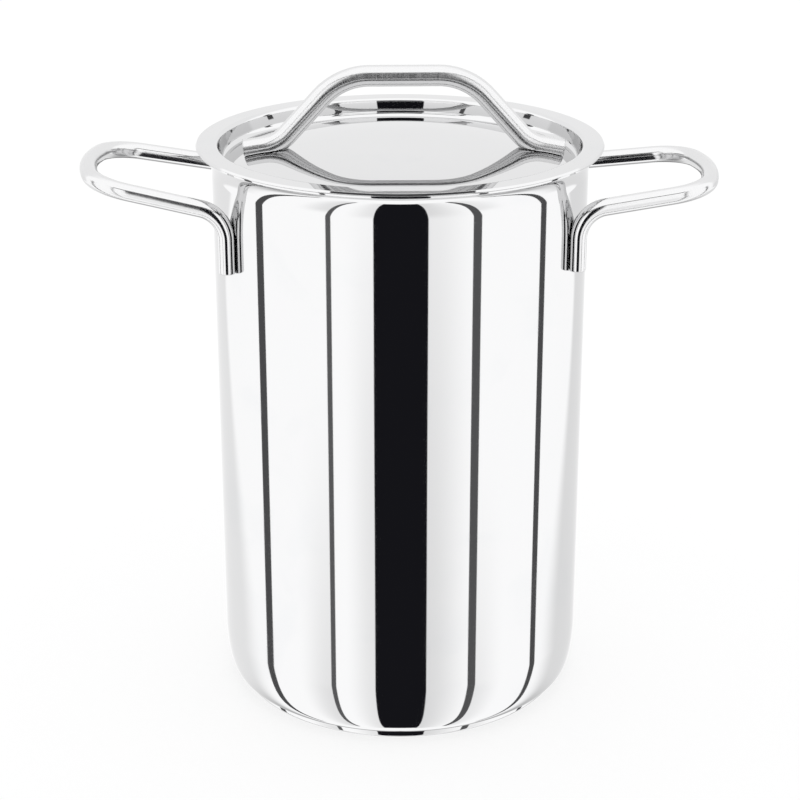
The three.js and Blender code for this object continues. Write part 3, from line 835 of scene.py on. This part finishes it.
# %% Sheet waves
sheet_waves, given, result = new_group(
    "sheet_waves",
    {"Coordinates": "NodeSocketVector", "Waves": "NodeSocketFloat", "Depth": "NodeSocketFloat"},
    "Normal", "NodeSocketVector",
)
noise = socket_of(sheet_waves, "ShaderNodeTexNoise", 0,
                  {"Vector": given["Coordinates"], "Scale": given["Waves"], "Detail": 1.0,
                   "Roughness": 0.4})
waves = socket_of(sheet_waves, "ShaderNodeBump", 0,
                  {"Strength": 1.0, "Distance": given["Depth"], "Height": noise})
sheet_waves.links.new(waves, result)
print(sheet_waves.name, "bends the normal in long shallow waves")

# %% Polish lines
LINE_CONTRAST = (0.32, 0.68)

polish_lines, given, result = new_group(
    "polish_lines",
    {"Coordinates": "NodeSocketVector", "Drift": "NodeSocketFloat", "Lines": "NodeSocketFloat"},
    "Value", "NodeSocketFloat",
)
stretch = socket_of(polish_lines, "ShaderNodeCombineXYZ", 0,
                    {"X": given["Drift"], "Y": given["Drift"], "Z": given["Lines"]})
place = socket_of(polish_lines, "ShaderNodeVectorMath", 0, {0: given["Coordinates"], 1: stretch},
                  operation="MULTIPLY")
noise = socket_of(polish_lines, "ShaderNodeTexNoise", 0,
                  {"Vector": place, "Scale": 1.0, "Detail": 2.0, "Roughness": 0.6})
polish_lines.links.new(ease(polish_lines, noise, *LINE_CONTRAST), result)
print(polish_lines.name, "draws fine lines square to the third coordinate")

# %% Wipe marks
MARK_CONTRAST = (0.5, 0.74)

wipe_marks, given, result = new_group(
    "wipe_marks", {"Coordinates": "NodeSocketVector", "Marks": "NodeSocketFloat"},
    "Mask", "NodeSocketFloat",
)
noise = socket_of(wipe_marks, "ShaderNodeTexNoise", 0,
                  {"Vector": given["Coordinates"], "Scale": given["Marks"], "Detail": 3.0,
                   "Distortion": 0.7})
wipe_marks.links.new(ease(wipe_marks, noise, *MARK_CONTRAST), result)
print(wipe_marks.name, "lays soft patches")

# %% [markdown]
# ## Finishes
# The outside is mirror-polished, so its roughness is close to nothing and it is the waves that make it look
# like real sheet. The inside, the lid's underside and the base's underside are satin: they are brushed while
# they spin, so their lines run round the axis. Rods are ground while they turn, so their lines run round the
# rod, and they blur what they show along the rod alone. That is anisotropy, and the UV map gives its
# direction. Seen at a low angle, steel is a little less bright than a perfect mirror, which the shader's
# specular tint says.

# %% Material helpers
LOW_ANGLE_TINT = (0.89, 0.89, 0.89, 1)


def new_finish(name, roughness, anisotropy=0.0):
    """A bare metal material: its node tree, its shader's inputs and Object coordinates."""
    material = bpy.data.materials.new(name)
    material.use_nodes = True
    tree = material.node_tree
    shader = tree.nodes["Principled BSDF"].inputs
    shader["Metallic"].default_value = 1.0
    shader["Specular Tint"].default_value = LOW_ANGLE_TINT
    shader["Roughness"].default_value = roughness
    shader["Anisotropic"].default_value = anisotropy
    if anisotropy:
        along = socket_of(tree, "ShaderNodeTangent", 0, {}, direction_type="UV_MAP", uv_map=UV_NAME)
        tree.links.new(along, shader["Tangent"])
    return material, tree, shader, socket_of(tree, "ShaderNodeTexCoord", "Object", {})


def round_axis(tree, coordinates):
    """Coordinates whose third value grows along a turned section, so that lines run round the pot's axis."""
    part = tree.nodes.new("ShaderNodeSeparateXYZ")
    tree.links.new(coordinates, part.inputs[0])
    x, y, z = part.outputs
    level = socket_of(tree, "ShaderNodeCombineXYZ", 0, {"X": x, "Y": y})
    radius = socket_of(tree, "ShaderNodeVectorMath", "Value", {0: level}, operation="LENGTH")
    return socket_of(tree, "ShaderNodeCombineXYZ", 0, {"X": x, "Y": y, "Z": calc(tree, "ADD", z, radius)})


def round_rod(tree):
    """Coordinates from the UV map whose third value grows along a rod, so that lines run round it."""
    part = tree.nodes.new("ShaderNodeSeparateXYZ")
    tree.links.new(socket_of(tree, "ShaderNodeUVMap", 0, {}, uv_map=UV_NAME), part.inputs[0])
    return socket_of(tree, "ShaderNodeCombineXYZ", 0, {"X": part.outputs["Y"], "Z": part.outputs["X"]})


def tinted(tree, share, first, second):
    """A colour between two, by a share from 0 to 1."""
    colours = {0: share, 6: (*first, 1), 7: (*second, 1)}
    return socket_of(tree, "ShaderNodeMix", 2, colours, data_type="RGBA")


# %% Mirror steel
MIRROR_ROUGHNESS, MIRROR_LINES, MIRROR_MARKS = 0.022, 0.016, 0.02
MIRROR_CLEAN, MIRROR_WIPED = (0.66, 0.66, 0.663), (0.645, 0.648, 0.653)

mirror_steel, tree, shader, here = new_finish("mirror_steel", 0.03)
lines = use_group(tree, polish_lines, Coordinates=round_axis(tree, here), Drift=5.0, Lines=2400.0)
marks = use_group(tree, wipe_marks, Coordinates=here, Marks=26.0)
roughness = calc(tree, "MULTIPLY_ADD", lines, MIRROR_LINES, MIRROR_ROUGHNESS)
tree.links.new(calc(tree, "MULTIPLY_ADD", marks, MIRROR_MARKS, roughness), shader["Roughness"])
tree.links.new(tinted(tree, marks, MIRROR_CLEAN, MIRROR_WIPED), shader["Base Color"])
waves = use_group(tree, sheet_waves, Coordinates=here, Waves=15.0, Depth=0.03 * MM)
tree.links.new(waves, shader["Normal"])
print(mirror_steel.name, "is on the outside of shell, base and lid")

# %% Satin steel
SATIN_ROUGHNESS, SATIN_LINES, SATIN_MARKS = 0.22, 0.1, 0.04
SATIN_DARK, SATIN_LIGHT = (0.65, 0.65, 0.653), (0.72, 0.72, 0.723)

satin_steel, tree, shader, here = new_finish("satin_steel", 0.28, anisotropy=0.8)
lines = use_group(tree, polish_lines, Coordinates=round_axis(tree, here), Drift=7.0, Lines=1500.0)
marks = use_group(tree, wipe_marks, Coordinates=here, Marks=18.0)
roughness = calc(tree, "MULTIPLY_ADD", lines, SATIN_LINES, SATIN_ROUGHNESS)
tree.links.new(calc(tree, "MULTIPLY_ADD", marks, SATIN_MARKS, roughness), shader["Roughness"])
tree.links.new(tinted(tree, lines, SATIN_DARK, SATIN_LIGHT), shader["Base Color"])
brushed = socket_of(tree, "ShaderNodeBump", 0,
                    {"Strength": 0.5, "Distance": 0.004 * MM, "Height": lines})
tree.links.new(brushed, shader["Normal"])
print(satin_steel.name, "is inside the pot and under the lid and the base")

# %% Rod steel
ROD_DARK, ROD_LIGHT = (0.65, 0.65, 0.653), (0.665, 0.665, 0.668)
ROD_ROUGHNESS, ROD_LINES, ROD_MARKS = 0.8, 0.25, 0.015


def rod_finish(name, roughness):
    """A ground rod's finish: fine lines round the rod, and the roughness that they leave along it."""
    material, tree, shader, here = new_finish(name, roughness, anisotropy=0.95)
    lines = use_group(tree, polish_lines, Coordinates=round_rod(tree), Drift=90.0, Lines=3600.0)
    marks = use_group(tree, wipe_marks, Coordinates=here, Marks=40.0)
    rough = calc(tree, "MULTIPLY_ADD", lines, ROD_LINES * roughness, ROD_ROUGHNESS * roughness)
    tree.links.new(calc(tree, "MULTIPLY_ADD", marks, ROD_MARKS, rough), shader["Roughness"])
    tree.links.new(tinted(tree, lines, ROD_DARK, ROD_LIGHT), shader["Base Color"])
    waves = use_group(tree, sheet_waves, Coordinates=here, Waves=60.0, Depth=0.008 * MM)
    tree.links.new(waves, shader["Normal"])
    return material


arch_steel = rod_finish("arch_steel", 0.2)
bow_steel = rod_finish("bow_steel", 0.1)
print("the arch is ground, and the bows are ground and then polished")

# %% [markdown]
# ## Wire and disc
# Wire is drawn through dies and then electropolished, so it is less of a mirror than the pot, and its welds
# keep a straw tint. A painted map could hold that tint. The attribute made with the beads does it without a
# picture. The disc in the base is rolled aluminium, which is duller, with all its lines in one direction.

# %% Basket wire
WIRE_ROUGHNESS, WIRE_LINES, WIRE_HEAT = 0.16, 0.08, 0.12
WIRE_DARK, WIRE_LIGHT = (0.54, 0.54, 0.545), (0.6, 0.6, 0.603)
STRAW, STRAW_SHARE = (0.45, 0.37, 0.27, 1), 0.55

wire_steel, tree, shader, here = new_finish("wire_steel", 0.22)
lines = use_group(tree, polish_lines, Coordinates=here, Drift=900.0, Lines=900.0)
heat = socket_of(tree, "ShaderNodeAttribute", "Fac", {}, attribute_name="heat")
clean = tinted(tree, lines, WIRE_DARK, WIRE_LIGHT)
straw = socket_of(tree, "ShaderNodeMix", 2,
                  {0: calc(tree, "MULTIPLY", heat, STRAW_SHARE), 6: clean, 7: STRAW}, data_type="RGBA")
tree.links.new(straw, shader["Base Color"])
roughness = calc(tree, "MULTIPLY_ADD", lines, WIRE_LINES, WIRE_ROUGHNESS)
tree.links.new(calc(tree, "MULTIPLY_ADD", heat, WIRE_HEAT, roughness), shader["Roughness"])
drawn = socket_of(tree, "ShaderNodeBump", 0, {"Strength": 0.4, "Distance": 0.01 * MM, "Height": lines})
tree.links.new(drawn, shader["Normal"])
print(wire_steel.name, "is on the basket and its loops")

# %% Rolled aluminium
DISC_ROUGHNESS, DISC_LINES = 0.36, 0.14
DISC_DARK, DISC_LIGHT = (0.66, 0.665, 0.675), (0.78, 0.785, 0.79)

rolled_aluminium, tree, shader, here = new_finish("rolled_aluminium", 0.45)
turned_round = socket_of(tree, "ShaderNodeMapping", 0, {"Vector": here, "Rotation": (math.pi / 2, 0, 0)})
lines = use_group(tree, polish_lines, Coordinates=turned_round, Drift=12.0, Lines=1800.0)
tree.links.new(calc(tree, "MULTIPLY_ADD", lines, DISC_LINES, DISC_ROUGHNESS), shader["Roughness"])
tree.links.new(tinted(tree, lines, DISC_DARK, DISC_LIGHT), shader["Base Color"])
print(rolled_aluminium.name, "is on the disc in the base")

# %% [markdown]
# ## Finishes on their pieces
# Shell, base and lid carry two finishes each, and every row of their faces already has its number. The disc
# is the CAD's own solid, so only its material changes.

# %% Put the finishes on
for piece in (pot_shell, base_capsule, lid_pan):
    piece.data.materials.append(mirror_steel)
    piece.data.materials.append(satin_steel)
for piece, finish in zip(handles, (bow_steel, bow_steel, arch_steel)):
    piece.data.materials.append(finish)
for piece in basket + loops:
    piece.data.materials.append(wire_steel)
core = frame["nodes"]["base_core_disc"]
for place in core.material_slots:
    place.material = rolled_aluminium
print("the base's core has", len(core.material_slots), "material slot")
